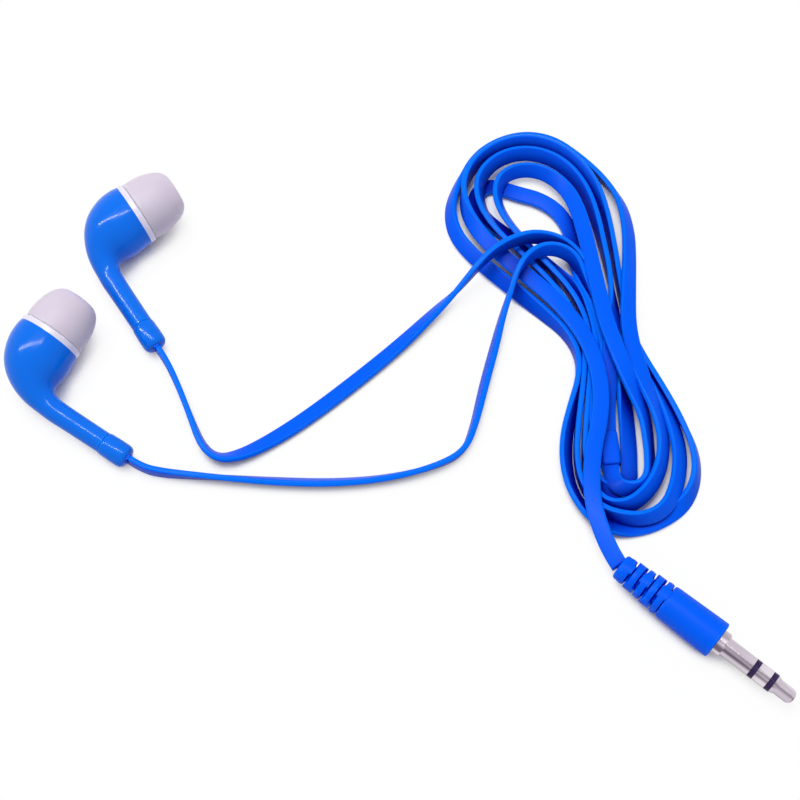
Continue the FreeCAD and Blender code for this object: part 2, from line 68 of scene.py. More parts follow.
MAIN_CORD = (
    # out of the splitter, round the inside of the lower lobe
    (97.1, -28.6, 1.4, 0), (97.1, -32.2, 1.8, 14), (99.1, -34.2, 2.4, 38), (101.9, -34.2, 2.8, 52),
    (103.8, -32.2, 3.0, 57), (104.2, -28.6, 3.0, 56), (104.2, -24.6, 3.0, 52), (103.9, -20.0, 3.3, 42),
    (102.2, -15.5, 4.1, 28), (100.7, -11.4, 5.0, 8),
    # over the pinch, face up
    (99.2, -6.8, 5.4, 0), (97.8, -1.6, 5.3, 0), (96.9, 4.2, 5.0, 0), (96.0, 11.1, 4.7, -3),
    (95.1, 18.1, 4.3, -8), (94.0, 24.8, 3.9, -20),
    # inner arc of the upper lobe
    (92.1, 30.2, 3.4, -38), (88.3, 34.4, 2.9, -50), (83.7, 35.7, 2.7, -54), (79.2, 33.8, 2.9, -62),
    (77.6, 29.2, 3.2, -66), (79.1, 23.8, 3.3, -58), (83.2, 18.0, 3.2, -60), (87.7, 12.5, 2.9, -74),
    # on edge through the pinch
    (91.6, 7.4, 2.1, -86), (93.9, 2.3, 1.6, -90), (94.7, -2.5, 1.6, -90), (94.8, -7.2, 1.6, -90),
    (94.3, -12.0, 1.6, -86), (93.6, -17.0, 1.7, -86), (92.9, -22.1, 1.7, -86),
    # middle turn of the lower lobe
    (92.4, -27.5, 1.7, -88), (93.0, -32.7, 1.7, -98), (95.0, -36.8, 2.0, -110), (99.0, -37.9, 2.7, -132),
    (102.9, -35.5, 3.0, -138), (105.9, -31.0, 3.2, -134), (107.1, -25.3, 3.2, -132),
    (106.4, -19.5, 3.4, -136), (104.6, -14.4, 3.9, -152),
    # up the right side
    (103.3, -10.0, 4.3, -170), (102.3, -5.4, 4.5, -180), (102.0, -0.4, 4.4, -168), (102.6, 6.1, 4.1, -156),
    (103.5, 14.2, 3.2, -148), (104.0, 21.5, 2.4, -140), (103.0, 28.9, 1.9, -122),
    # outermost turn of the upper lobe
    (99.5, 34.3, 1.7, -102), (95.0, 39.2, 1.6, -96), (90.2, 43.2, 1.6, -92), (84.4, 44.5, 1.6, -90),
    (78.5, 42.9, 1.6, -92), (73.5, 39.1, 1.6, -96), (70.3, 33.4, 1.6, -108), (68.3, 27.1, 1.6, -120),
    # down the left side
    (69.1, 21.2, 1.5, -132), (72.1, 16.6, 1.4, -140), (76.6, 12.0, 1.4, -142), (81.4, 7.5, 1.4, -136),
    (86.2, 2.9, 1.5, -118), (90.3, -1.3, 1.6, -98), (92.6, -6.4, 1.6, -90), (92.2, -12.0, 1.6, -84),
    # outermost turn of the lower lobe
    (90.8, -17.4, 1.6, -62), (89.3, -23.2, 1.5, -50), (88.9, -28.9, 1.5, -48), (89.9, -34.5, 1.5, -54),
    (93.2, -39.6, 1.4, -50), (98.0, -41.5, 0.9, -14), (102.7, -40.9, 0.7, 0), (106.9, -39.0, 0.8, 14),
    (110.6, -36.2, 1.2, 44), (112.8, -31.8, 1.8, 62), (113.0, -26.2, 1.9, 66), (110.8, -19.5, 1.8, 74),
    (107.8, -13.2, 1.7, 86),
    # up through the pinch, on the right
    (105.0, -7.6, 1.6, 90), (102.9, -2.4, 1.6, 90), (102.0, 3.4, 1.6, 90), (101.3, 10.6, 1.7, 92),
    (100.6, 18.0, 1.9, 98), (99.5, 25.5, 2.3, 108),
    # second turn of the upper lobe
    (97.4, 32.0, 3.0, 126), (93.9, 37.6, 3.0, 127), (89.4, 41.1, 3.1, 127), (84.0, 42.3, 3.2, 127),
    (78.3, 40.7, 3.3, 124), (73.6, 36.7, 3.3, 116), (71.1, 31.2, 3.4, 98), (71.2, 25.8, 3.5, 68),
    # face up down the left side, over the pinch and out to the plug
    (73.4, 20.8, 3.6, 40), (76.6, 16.3, 3.8, 26), (80.6, 12.2, 3.8, 18), (85.1, 8.0, 3.8, 12),
    (89.6, 3.0, 3.9, 4), (93.2, -2.6, 4.1, 0), (95.3, -8.5, 4.4, 0), (96.0, -15.2, 4.5, -3),
    (95.3, -21.3, 4.4, -5), (93.7, -27.2, 4.3, -5), (93.0, -33.1, 4.2, 4), (93.2, -38.1, 4.0, 16),
    (94.4, -42.8, 3.7, 27), (95.9, -46.8, 3.5, 28), (97.2, -49.1, 3.5, 24),
)

LEFT_BRANCH = (
    # out of the boot and across the table
    (12.2, -5.6, 2.6, 90), (13.9, -8.0, 2.3, 90), (16.4, -13.0, 1.9, 90), (19.2, -19.6, 1.6, 88),
    (21.7, -25.4, 1.6, 74), (24.8, -27.8, 1.5, 56), (29.0, -27.0, 1.3, 36), (34.4, -24.0, 1.0, 20),
    (41.2, -19.1, 0.9, 14), (49.6, -12.0, 0.9, 14), (58.2, -4.2, 1.1, 24),
    # arch over the upper lobe's left side
    (66.0, 3.8, 1.9, 52), (68.8, 6.4, 2.6, 70), (71.2, 8.8, 3.8, 80), (73.6, 11.2, 5.4, 86),
    (76.4, 13.6, 6.7, 92), (79.8, 15.5, 7.2, 98), (83.9, 16.9, 7.0, 108), (88.0, 17.0, 6.0, 114),
    (91.6, 15.8, 4.6, 112), (94.5, 12.9, 3.2, 100), (96.6, 8.9, 2.0, 92), (97.9, 4.3, 1.6, 90),
    # right side of the lower lobe
    (99.3, -0.5, 1.6, 90), (101.6, -5.3, 1.6, 86), (104.8, -10.0, 1.8, 74), (107.3, -15.2, 2.1, 52),
    (109.2, -20.8, 2.3, 38), (110.1, -27.1, 2.4, 32), (109.0, -33.3, 2.5, 34), (106.5, -38.1, 2.7, 44),
    (102.3, -40.2, 2.9, 58), (97.6, -39.6, 2.7, 74), (93.8, -37.2, 1.9, 88), (91.4, -32.6, 1.6, 92),
    (90.9, -27.3, 1.6, 92), (91.5, -21.8, 1.6, 92), (92.4, -16.3, 1.6, 92), (93.2, -11.1, 1.6, 90),
    # up the left side, round the upper lobe
    (93.7, -6.0, 1.6, 90), (93.0, -0.7, 1.6, 90), (91.0, 4.6, 1.7, 92), (87.0, 10.2, 2.1, 98),
    (82.5, 15.3, 2.6, 106), (77.5, 20.7, 3.2, 114), (74.3, 26.8, 3.3, 118), (74.4, 33.0, 3.3, 122),
    (78.2, 37.7, 3.2, 124), (83.7, 39.6, 3.0, 126), (89.0, 38.4, 2.9, 126), (93.2, 34.9, 2.8, 122),
    (96.1, 29.4, 2.7, 114), (97.6, 23.2, 2.7, 106),
    # down to the splitter
    (98.6, 17.2, 2.6, 94), (99.5, 10.8, 2.5, 88), (99.8, 4.7, 2.9, 64), (99.3, -0.3, 3.7, 22),
    (98.6, -5.0, 4.0, 0), (98.0, -9.4, 3.8, 0), (97.6, -13.5, 2.9, 0), (97.2, -17.6, 2.0, 0),
    (97.0, -22.8, 1.9, 0),
)

RIGHT_BRANCH = (
    # out of the boot and across the table
    (8.7, -28.5, 2.6, 90), (11.2, -30.1, 2.3, 90), (15.0, -30.8, 1.9, 88), (19.6, -31.1, 1.6, 80),
    (26.0, -31.6, 1.6, 68), (35.6, -32.3, 1.5, 56), (45.6, -32.6, 1.5, 56), (55.4, -31.8, 1.5, 62),
    (64.4, -29.6, 1.6, 72), (70.2, -26.6, 1.6, 80), (72.3, -21.0, 1.6, 76), (74.2, -13.0, 1.5, 68),
    # arch over the upper lobe's left side
    (76.4, -5.0, 1.6, 68), (78.1, 1.5, 2.2, 78), (79.6, 5.6, 4.0, 82), (81.0, 9.6, 5.8, 88),
    (83.2, 12.6, 6.6, 98), (86.4, 14.4, 6.6, 108), (89.8, 14.6, 5.7, 114), (92.4, 13.4, 4.5, 110),
    (94.1, 10.6, 3.1, 98), (95.8, 6.4, 1.8, 92),
    # inside the lower lobe, low
    (97.0, 1.3, 1.6, 90), (98.0, -3.9, 1.6, 88), (99.4, -9.1, 1.5, 78), (100.6, -14.0, 1.3, 48),
    (100.8, -19.6, 1.0, 18), (100.9, -25.3, 0.8, 8), (100.7, -28.8, 0.7, 0), (100.5, -32.2, 0.7, 0),
    (98.7, -34.1, 0.7, 0), (95.9, -34.1, 0.9, 20), (94.0, -32.2, 1.5, 60), (93.8, -27.6, 1.6, 86),
    (94.0, -22.0, 1.6, 90), (94.1, -16.8, 1.6, 90), (95.4, -11.6, 1.6, 90),
    # up the left side, low, and back across the upper lobe
    (95.9, -6.7, 1.6, 90), (95.8, -2.0, 1.6, 90), (94.9, 3.1, 1.6, 86), (92.9, 8.1, 1.5, 60),
    (89.2, 11.9, 0.9, 20), (85.3, 16.1, 0.7, 0), (80.8, 20.1, 0.7, 0), (76.4, 23.7, 0.7, 0),
    (73.5, 27.7, 0.7, 0), (73.9, 30.9, 0.7, 0), (76.4, 32.8, 0.7, 0), (79.1, 32.0, 0.9, -6),
    (82.2, 30.5, 1.3, -14), (86.6, 29.0, 1.5, -18), (90.4, 26.2, 1.3, -10), (92.7, 21.6, 1.0, 0),
    (93.2, 15.2, 0.8, 10),
    # down to the splitter
    (94.1, 9.2, 1.4, 50), (95.8, 3.6, 1.6, 86), (96.6, -1.6, 1.6, 90), (97.1, -6.6, 1.6, 90),
    (97.3, -11.4, 1.4, 60), (97.2, -15.6, 0.9, 20), (97.0, -22.8, 0.7, 0),
)


def spline_points(points):
    """Points along a smooth NURBS spline that has these points as its controls."""
    line = bpy.data.curves.new("route", "CURVE")
    line.dimensions = "3D"
    line.resolution_u = 12
    spline = line.splines.new("NURBS")
    spline.points.add(len(points) - 1)
    for control, (x, y, z) in zip(spline.points, points):
        control.co = (x, y, z, 1)
    spline.order_u = 3
    spline.use_endpoint_u = True
    holder = bpy.data.objects.new("route", line)
    mesh = bpy.data.meshes.new_from_object(holder)
    found = [v.co.copy() for v in mesh.vertices]
    bpy.data.objects.remove(holder)
    bpy.data.curves.remove(line)
    bpy.data.meshes.remove(mesh)
    return found


def strap_section():
    """Outline of the flat cord: a slab with rounded edges, across and through."""
    outline = []
    half_wide = CORD_WIDTH / 2 - CORD_EDGE
    half_thick = CORD_THICK / 2 - CORD_EDGE
    for quarter, (side, face) in enumerate(((1, 1), (-1, 1), (-1, -1), (1, -1))):
        for step in range(EDGE_STEPS + 1):
            turn = math.pi / 2 * (quarter + step / EDGE_STEPS)
            outline.append((side * half_wide + CORD_EDGE * math.cos(turn),
                            face * half_thick + CORD_EDGE * math.sin(turn)))
    return outline


def strap(name, points, inner_side):
    """Flat cord swept along its route. inner_side is 1 where the lobes lie to its left, or -1."""
    path = spline_points([(x * MM, y * MM, z * MM) for x, y, z, twist in points])
    twists = [turn.x for turn in spline_points([(math.radians(point[3]), 0, 0) for point in points])]
    section = strap_section()
    verts = []
    faces = []
    ways = []
    count = len(section)
    run = 0.0
    for k, here in enumerate(path):
        before = path[max(k - 1, 0)]
        after = path[min(k + 1, len(path) - 1)]
        along = (after - before).normalized()
        inward = inner_side * Vector((0, 0, 1)).cross(along).normalized()
        up = inner_side * along.cross(inward)
        across = math.cos(twists[k]) * inward + math.sin(twists[k]) * up
        through = math.cos(twists[k]) * up - math.sin(twists[k]) * inward
        run += (here - before).length
        for a, b in section:
            verts.append(here + a * across + b * through)
            ways.append((run, a, b))
    for k in range(len(path) - 1):
        for j in range(count):
            first = k * count + j
            second = k * count + (j + 1) % count
            faces.append((first, second, second + count, first + count))
    last = (len(path) - 1) * count
    faces.append(tuple(range(count - 1, -1, -1)))
    faces.append(tuple(range(last, last + count)))
    if inner_side > 0:
        faces = [tuple(reversed(face)) for face in faces]
    mesh = bpy.data.meshes.new(name)
    mesh.from_pydata(verts, [], faces)
    along_strap = mesh.attributes.new("along_strap", "FLOAT_VECTOR", "POINT")
    for value, way in zip(along_strap.data, ways):
        value.vector = way
    mesh.shade_smooth()
    piece = bpy.data.objects.new(name, mesh)
    bpy.context.scene.collection.objects.link(piece)
    return piece, path


left_branch, left_path = strap("left_branch", LEFT_BRANCH, -1)
right_branch, right_path = strap("right_branch", RIGHT_BRANCH, -1)
main_cord, main_path = strap("main_cord", MAIN_CORD, 1)
for piece, nodes in ((left_branch, ["left_cord"]), (right_branch, ["right_cord"]),
                     (main_cord, ["plug_cord", "cord_hank"])):
    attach(piece, "root")
    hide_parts(*nodes)

# ------------------------------------------------------------- the finishes

CLOUD_SCALE = 0.06              # size of the cloudy colour, as a share of the grain's scale
CLOUD_SHADE = 0.92              # the darker cloud's share of the colour
PAINTED_SHADE_REACH = 0.009            # metres within which a neighbour brings on the painted shade
PAINTED_SHADE_OPEN = (0.34, 0.9)       # openness at which the painted shade is full and gone
STRAP_EDGE_HIGHLIGHT = (0.84, 0.96)        # share of the half width over which the painted highlight along a strap's edges starts and ends its rise
CORNER_RUB = (0.53, 0.6)        # share of sharpness over which a corner starts and ends to show wear
SKIN_HEIGHT = 0.00005
STREAK_STRETCH = (14.0, 640.0, 640.0)
STREAK_EDGE = (0.46, 0.62)
STREAK_SHARE = (0.9, 0.9, 0.9)


def node(tree, kind, links=(), **settings):
    """A new node with its settings, and its input sockets linked or set by name."""
    made = tree.nodes.new(kind)
    for key, value in settings.items():
        setattr(made, key, value)
    for socket, value in dict(links).items():
        if isinstance(value, bpy.types.NodeSocket):
            tree.links.new(value, made.inputs[socket])
        else:
            made.inputs[socket].default_value = value
    return made


def ramp(tree, factor, ends, low_colour, high_colour):
    """A colour that runs from one to another while a factor runs between two ends."""
    made = node(tree, "ShaderNodeValToRGB", {"Fac": factor})
    made.color_ramp.elements[0].position = ends[0]
    made.color_ramp.elements[1].position = ends[1]
    made.color_ramp.elements[0].color = (*low_colour, 1)
    made.color_ramp.elements[1].color = (*high_colour, 1)
    return made.outputs["Color"]


def blend(tree, share, first, second):
    """A colour between two, by a share from 0 to 1."""
    made = node(tree, "ShaderNodeMix", {0: share}, data_type="RGBA")
    for socket, value in ((6, first), (7, second)):
        if isinstance(value, bpy.types.NodeSocket):
            tree.links.new(value, made.inputs[socket])
        else:
            made.inputs[socket].default_value = (*value, 1)
    return made.outputs[2]


def moulded(name, colour, wear_and_highlight, painted_crease_shade, rough, grain, bump, sockets=(), strap_edge_highlight=False):
    """A finish with a cloudy colour, wear on sharp corners (a painted highlight along the edges where it is a
    strap), painted shade in creases, uneven gloss and a fine skin.
    """
    material = bpy.data.materials.new(name)
    material.use_nodes = True
    tree = material.node_tree
    shader = tree.nodes["Principled BSDF"]
    where = node(tree, "ShaderNodeTexCoord").outputs["Object"]
    cloud = node(tree, "ShaderNodeTexNoise", {"Vector": where, "Scale": grain * CLOUD_SCALE, "Detail": 3.0})
    skin = node(tree, "ShaderNodeTexNoise", {"Vector": where, "Scale": grain, "Detail": 4.0})
    shaded = tuple(CLOUD_SHADE * c for c in colour)
    body = blend(tree, cloud.outputs["Fac"], shaded, colour)
    if painted_crease_shade:
        # painted shade: the colour turns darker where neighbours are near (ambient occlusion), in creases and
        # on the walls between straps
        open_air = node(tree, "ShaderNodeAmbientOcclusion", {"Distance": PAINTED_SHADE_REACH}, samples=6)
        body = blend(tree, ramp(tree, open_air.outputs["AO"], PAINTED_SHADE_OPEN, BLACK, WHITE), painted_crease_shade, body)
    if strap_edge_highlight:
        # painted highlight: both long edges of a strap lighter, along every cord
        way = node(tree, "ShaderNodeAttribute", attribute_name="along_strap")
        across = node(tree, "ShaderNodeSeparateXYZ", {"Vector": way.outputs["Vector"]})
        reach = node(tree, "ShaderNodeMath", {0: across.outputs["Y"]}, operation="ABSOLUTE")
        share = node(tree, "ShaderNodeMath", {0: reach.outputs[0], 1: CORD_WIDTH / 2}, operation="DIVIDE")
        wear_and_highlight_mask = ramp(tree, share.outputs[0], STRAP_EDGE_HIGHLIGHT, BLACK, (0.8, 0.8, 0.8))
    else:
        sharp = node(tree, "ShaderNodeNewGeometry").outputs["Pointiness"]
        wear_and_highlight_mask = ramp(tree, sharp, CORNER_RUB, BLACK, WHITE)
    tree.links.new(blend(tree, wear_and_highlight_mask, body, wear_and_highlight), shader.inputs["Base Color"])
    gloss = node(tree, "ShaderNodeMapRange", {"Value": skin.outputs["Fac"], "To Min": rough[0],
                                              "To Max": rough[1]})
    tree.links.new(gloss.outputs["Result"], shader.inputs["Roughness"])
    raised = node(tree, "ShaderNodeBump", {"Height": skin.outputs["Fac"], "Strength": bump,
                                           "Distance": SKIN_HEIGHT})
    tree.links.new(raised.outputs["Normal"], shader.inputs["Normal"])
    for socket, value in dict(sockets).items():
        shader.inputs[socket].default_value = value
    return material


# colour, colour of the wear (on the cord, a painted highlight along the strap's edges), colour of the painted
# shade in creases, least and most roughness, scale of the grain, its strength
housing_blue = moulded("housing_blue", (0.0, 0.155, 0.80), (0.0, 0.20, 0.88), (0.0, 0.07, 0.62),
                       (0.10, 0.2), 1800, 0.05, {"Specular IOR Level": 0.13})
cord_blue = moulded("cord_blue", (0.0, 0.112, 0.92), (0.0, 0.175, 1.0), (0.0, 0.003, 0.30),
                    (0.3, 0.42), 2600, 0.12, {"Specular IOR Level": 0.06}, strap_edge_highlight=True)
grip_blue = moulded("grip_blue", (0.0, 0.112, 0.92), (0.0, 0.15, 1.0), (0.0, 0.02, 0.55),
                    (0.34, 0.46), 2600, 0.12, {"Specular IOR Level": 0.06})
cover_white = moulded("cover_white", (0.74, 0.70, 0.84), (0.88, 0.88, 0.94), None, (0.22, 0.34), 2000, 0.06)
clear_silicone = moulded("clear_silicone", (0.75, 0.65, 0.80), (0.84, 0.77, 0.88), None, (0.42, 0.56),
                         1500, 0.45, {"Subsurface Weight": 0.5, "Subsurface Scale": 0.003,
                                      "Subsurface Radius": (0.9, 0.8, 0.9),
                                      "Transmission Weight": 0.1, "IOR": 1.41})
inner_plastic = moulded("inner_plastic", (0.7, 0.7, 0.67), (0.8, 0.8, 0.78), None, (0.4, 0.55), 2000, 0.1)
clear_film = moulded("clear_film", (0.75, 0.75, 0.72), (0.85, 0.85, 0.84), None, (0.15, 0.25), 2000, 0.05)
board = moulded("board", (0.03, 0.14, 0.05), (0.2, 0.3, 0.15), None, (0.35, 0.5), 2400, 0.1)
insulator_black = moulded("insulator_black", (0.014, 0.003, 0.04), (0.03, 0.015, 0.07), None, (0.25, 0.4),
                          2400, 0.05, {"Specular IOR Level": 0.15})
steel_mesh = moulded("steel_mesh", (0.55, 0.55, 0.57), (0.7, 0.7, 0.7), None, (0.25, 0.4), 3000, 0.1,
                     {"Metallic": 1.0})
plated_steel = moulded("plated_steel", (0.66, 0.66, 0.67), (0.8, 0.8, 0.8), None, (0.15, 0.28), 2600, 0.06,
                       {"Metallic": 1.0})
copper = moulded("copper", (0.72, 0.34, 0.14), (0.8, 0.45, 0.25), None, (0.2, 0.34), 2600, 0.08,
                 {"Metallic": 1.0})
contact_nickel = moulded("contact_nickel", (0.62, 0.55, 0.63), (0.78, 0.72, 0.78), None, (0.12, 0.24), 2600,
                         0.05, {"Metallic": 1.0})


def painted_reflection_streaks(material, heading, reflection_dark):
    """Long dark streaks along the plug's axis, painted into the metal's colour: a painted reflection of dark
    surroundings.
    """
    tree = material.node_tree
    shader = tree.nodes["Principled BSDF"]
    plain_metal = shader.inputs["Base Color"].links[0].from_socket
    where = node(tree, "ShaderNodeTexCoord").outputs["Object"]
    turned = node(tree, "ShaderNodeVectorRotate", {"Vector": where, "Angle": math.radians(-heading)},
                  rotation_type="Z_AXIS")
    stretched = node(tree, "ShaderNodeVectorMath", {0: turned.outputs[0], 1: STREAK_STRETCH},
                 operation="MULTIPLY")
    streak = node(tree, "ShaderNodeTexNoise", {"Vector": stretched.outputs[0], "Scale": 1.0, "Detail": 2.0})
    share = ramp(tree, streak.outputs["Fac"], STREAK_EDGE, BLACK, STREAK_SHARE)
    tree.links.new(blend(tree, share, plain_metal, reflection_dark), shader.inputs["Base Color"])


# painted reflection: dark streaks in the colour of the plug's contacts
painted_reflection_streaks(contact_nickel, PLUG_HEADING, (0.11, 0.07, 0.11))

FINISH = {
    "housing": housing_blue, "boot": housing_blue, "cord_end": cord_blue, "lead_wires": copper,
    "front_cover": cover_white, "nozzle_mesh": steel_mesh, "ear_tip": clear_silicone,
    "driver_frame": inner_plastic, "yoke": plated_steel, "magnet": plated_steel, "top_plate": plated_steel,
    "voice_coil": copper, "diaphragm": clear_film, "terminal_board": board,
    "plug_grip": grip_blue, "plug_inner_mold": inner_plastic, "plug_sleeve_contact": contact_nickel,
    "plug_rear_insulator": insulator_black, "plug_ring_contact": contact_nickel,
    "plug_front_insulator": insulator_black, "plug_tip_contact": contact_nickel, "splitter": grip_blue,
}


def paint(piece, material):
    """The whole piece in one finish."""
    if not piece.material_slots:
        piece.data.materials.append(material)
    for place in piece.material_slots:
        place.material = material


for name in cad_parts:
    plain = name.removeprefix("left_").removeprefix("right_")
    if plain in FINISH:
        paint(bpy.data.objects[name], FINISH[plain])
for piece in (left_branch, right_branch, main_cord):
    paint(piece, cord_blue)

# ------------------------------------------------- housings, boots and tips
# Each bud's own axes: x out along the nozzle, -y down the stem, from the middle of the housing's rim.

BUD_PLACES = {              # place, and heading in degrees
    "left": ((6.03, 21.83, 6.77), 34.0),
    "right": ((-7.67, -5.67, 6.77), 57.0),
}
TIP_RISE = 6.0              # degrees
STEM_DROOP = 6.6            # degrees
ELBOW_BACK = 10.6
STEM_END = 20.5
HOUSING_WALL = 0.8
ROUND = 64                  # points in each ring

# middle of each ring (back, down), its radius and its lean in degrees
HOUSING_RINGS = (
    (0.0, 0.0, 6.25, 0), (1.2, 0.0, 6.4, 0), (3.1, 0.2, 6.45, 2), (5.0, 0.6, 6.2, 6), (6.8, 1.2, 5.6, 12),
    (8.3, 2.2, 4.75, 20), (9.4, 3.7, 3.8, 32), (10.1, 5.5, 2.95, 48), (10.45, 7.6, 2.35, 66),
    (ELBOW_BACK, 9.9, 2.2, 80), (ELBOW_BACK, 12.5, 2.12, 90), (ELBOW_BACK, 16.5, 2.08, 90),
    (ELBOW_BACK, STEM_END, 2.06, 90),
)


def bud_matrix(side):
    """Place of a bud: turned to its heading, tip raised, stem drooped."""
    place, heading = BUD_PLACES[side]
    turn = (Matrix.Rotation(math.radians(heading), 4, "Z") @ Matrix.Rotation(math.radians(-TIP_RISE), 4, "Y")
            @ Matrix.Rotation(math.radians(STEM_DROOP), 4, "X"))
    return Matrix.Translation(Vector(place) * MM) @ turn @ Matrix.Scale(MM, 4)


def eased(rows, steps):
    """Rows of numbers with smooth in-between rows, steps to each gap."""
    filled = []
    for k in range(len(rows) - 1):
        before = rows[max(k - 1, 0)]
        after = rows[min(k + 2, len(rows) - 1)]
        for step in range(steps):
            t = step / steps
            filled.append([0.5 * (2 * b + (c - a) * t + (2 * a - 5 * b + 4 * c - d) * t ** 2
                                  + (3 * b - a - 3 * c + d) * t ** 3)
                           for a, b, c, d in zip(before, rows[k], rows[k + 1], after)])
    filled.append(list(rows[-1]))
    return filled


def ring_points(back, down, radius, lean):
    """Points of one round ring, its face turned from the nozzle's way towards the stem's by its lean."""
    lean = math.radians(lean)
    across = Vector((-math.sin(lean), math.cos(lean), 0))
    up = Vector((0, 0, 1))
    return [Vector((-back, -down, 0)) + radius * (math.cos(turn) * across + math.sin(turn) * up)
            for turn in (2 * math.pi * k / ROUND for k in range(ROUND))]


def shell(name, rings, place, closed):
    """Skin over a row of rings; the last ring joins the first where closed, else both ends get caps."""
    mesh = bpy.data.meshes.new(name)
    verts = [place @ point for ring in rings for point in ring]
    faces = []
    for k in range(len(rings) if closed else len(rings) - 1):
        here = k * ROUND
        there = (k + 1) % len(rings) * ROUND
        for j in range(ROUND):
            after = (j + 1) % ROUND
            faces.append((here + j, here + after, there + after, there + j))
    if not closed:
        faces.append(tuple(range(ROUND - 1, -1, -1)))
        faces.append(tuple(range(len(verts) - ROUND, len(verts))))
    mesh.from_pydata(verts, [], faces)
    work = bmesh.new()
    work.from_mesh(mesh)
    bmesh.ops.recalc_face_normals(work, faces=work.faces)
    work.to_mesh(mesh)
    work.free()
    mesh.shade_smooth()
    mesh.set_sharp_from_angle(angle=SHARP_FROM)
    piece = bpy.data.objects.new(name, mesh)
    bpy.context.scene.collection.objects.link(piece)
    return piece


def turned_rings(outline):
    """Rings of a body turned about the nozzle's axis, from (x, radius) points."""
    return [ring_points(-x, 0, radius, 0) for x, radius in outline]


# way along the stem from its end, and radius
BOOT_OUTLINE = (
    (0.0, 1.8), (0.05, 2.0), (0.2, 2.14), (0.6, 2.22), (2.6, 2.28), (4.4, 2.26), (4.95, 2.14), (5.35, 1.84),
    (5.5, 1.45), (5.52, 1.05), (5.8, 1.0), (5.8, 0.6),
)

# skirt from its hem to the nose, in through the bore and back under the skirt
TIP_OUTLINE = (
    (1.2, 5.55), (1.17, 5.8), (1.25, 5.98), (1.9, 6.04), (3.2, 6.06), (4.6, 5.96), (6.0, 5.66), (7.3, 5.22),
    (8.3, 4.68), (9.0, 4.05), (9.42, 3.4), (9.55, 2.8), (9.5, 2.35), (9.25, 2.08), (8.6, 2.05), (5.3, 2.05),
    (5.22, 2.85), (3.2, 2.87), (1.35, 2.87), (1.3, 3.2), (1.35, 3.55), (3.4, 3.62), (5.6, 3.7), (7.4, 3.9),
    (8.1, 4.1), (7.2, 4.7), (6.0, 5.1), (4.4, 5.38), (2.8, 5.44), (1.6, 5.44),
)

for side in ("left", "right"):
    place = bud_matrix(side)
    outer = eased(HOUSING_RINGS, 6)
    inner = [(max(back, 0.0), down, radius - HOUSING_WALL, lean) for back, down, radius, lean in outer]
    rings = [ring_points(*row) for row in outer] + [ring_points(*row) for row in reversed(inner)]
    housing = shell(side + "_housing_skin", rings, place, True)
    boot = shell(side + "_boot_sleeve",
                 [ring_points(ELBOW_BACK, STEM_END + way, radius, 90) for way, radius in BOOT_OUTLINE],
                 place, False)
    tip = shell(side + "_tip_skirt", turned_rings(TIP_OUTLINE), place, True)
    for piece, body, node_name, finish, slot in (
            (housing, "root", "_housing", housing_blue, "housing_blue"),
            (boot, "root", "_boot", housing_blue, "cord_blue"),
            (tip, side + "_tip", "_ear_tip", clear_silicone, "clear_silicone")):
        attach(piece, body)
        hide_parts(side + node_name)
        paint(piece, finish)

# -------------------------------------------------------------- the splitter

SPLITTER_FROM = (96.9, -22.3)
SPLITTER_TO = (97.3, -29.1)
SPLITTER_HALF_WIDE = 1.9
SPLITTER_HALF_HIGH = 1.25
SPLITTER_MIDDLE = 1.3       # height of its middle
SQUARENESS = 5              # 2 would be round
SPLITTER_OUTLINE = (
    (0.0, 1.5), (0.25, 1.72), (0.8, 1.85), (3.4, SPLITTER_HALF_WIDE), (6.0, 1.85), (6.55, 1.72), (6.8, 1.5),
)


def splitter_block():
    """Moulded block of a rounded section, a little fuller in the middle."""
    start = Vector((*SPLITTER_FROM, 0))
    along = (Vector((*SPLITTER_TO, 0)) - start).normalized()
    across = Vector((0, 0, 1)).cross(along)
    rings = []
    for way, half in eased(SPLITTER_OUTLINE, 3):
        ring = []
        for k in range(ROUND):
            turn = 2 * math.pi * k / ROUND
            wide, high = abs(math.cos(turn)), abs(math.sin(turn))
            reach = (wide ** SQUARENESS + high ** SQUARENESS) ** (-1 / SQUARENESS)
            rise = SPLITTER_HALF_HIGH * half / SPLITTER_HALF_WIDE * reach * math.sin(turn)
            ring.append(start + way * along + across * half * reach * math.cos(turn)
                        + Vector((0, 0, SPLITTER_MIDDLE + rise)))
        rings.append(ring)
    return shell("splitter_block", rings, Matrix.Scale(MM, 4), False)


splitter = splitter_block()
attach(splitter, "root")
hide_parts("splitter")
paint(splitter, grip_blue)

# ------------------------------------------------------------ the plug grip
# Along the plug's own axis, in millimetres from where the cord goes in.

RIDGE_COUNT = 5
RIDGE_PITCH = 1.87
RIDGE_REAR_R = 2.5
RIDGE_FRONT_R = 3.2
GROOVE_WIDTH = 0.7
GROOVE_DEPTH = 0.3          # share of the ridge's radius
SHOULDER_DROP = 0.05        # share of the radius, where the ridge falls away to its groove
SHOULDER_REACH = 2.6        # in half grooves
SPINE_HALF = 0.36           # sine of the angle over which the ridge stays whole
SPINE_FADE = 0.12
CELL_STEPS = 26
REAR_LENGTH = 0.6           # from the cord's way in to the first ridge
REAR_OUTLINE = ((0.0, 1.5), (0.05, 2.1), (0.2, 2.3), (0.45, 2.4), (1.0, 2.4))

GRIP_OUTLINE = (
    (9.75, 1.6), (9.8, 2.9), (9.95, 3.12), (10.3, 3.24), (12.0, 3.3), (16.0, 3.4), (20.3, 3.5),
    (20.62, 3.42), (20.82, 3.25), (20.9, 2.9), (20.9, 1.9),
)


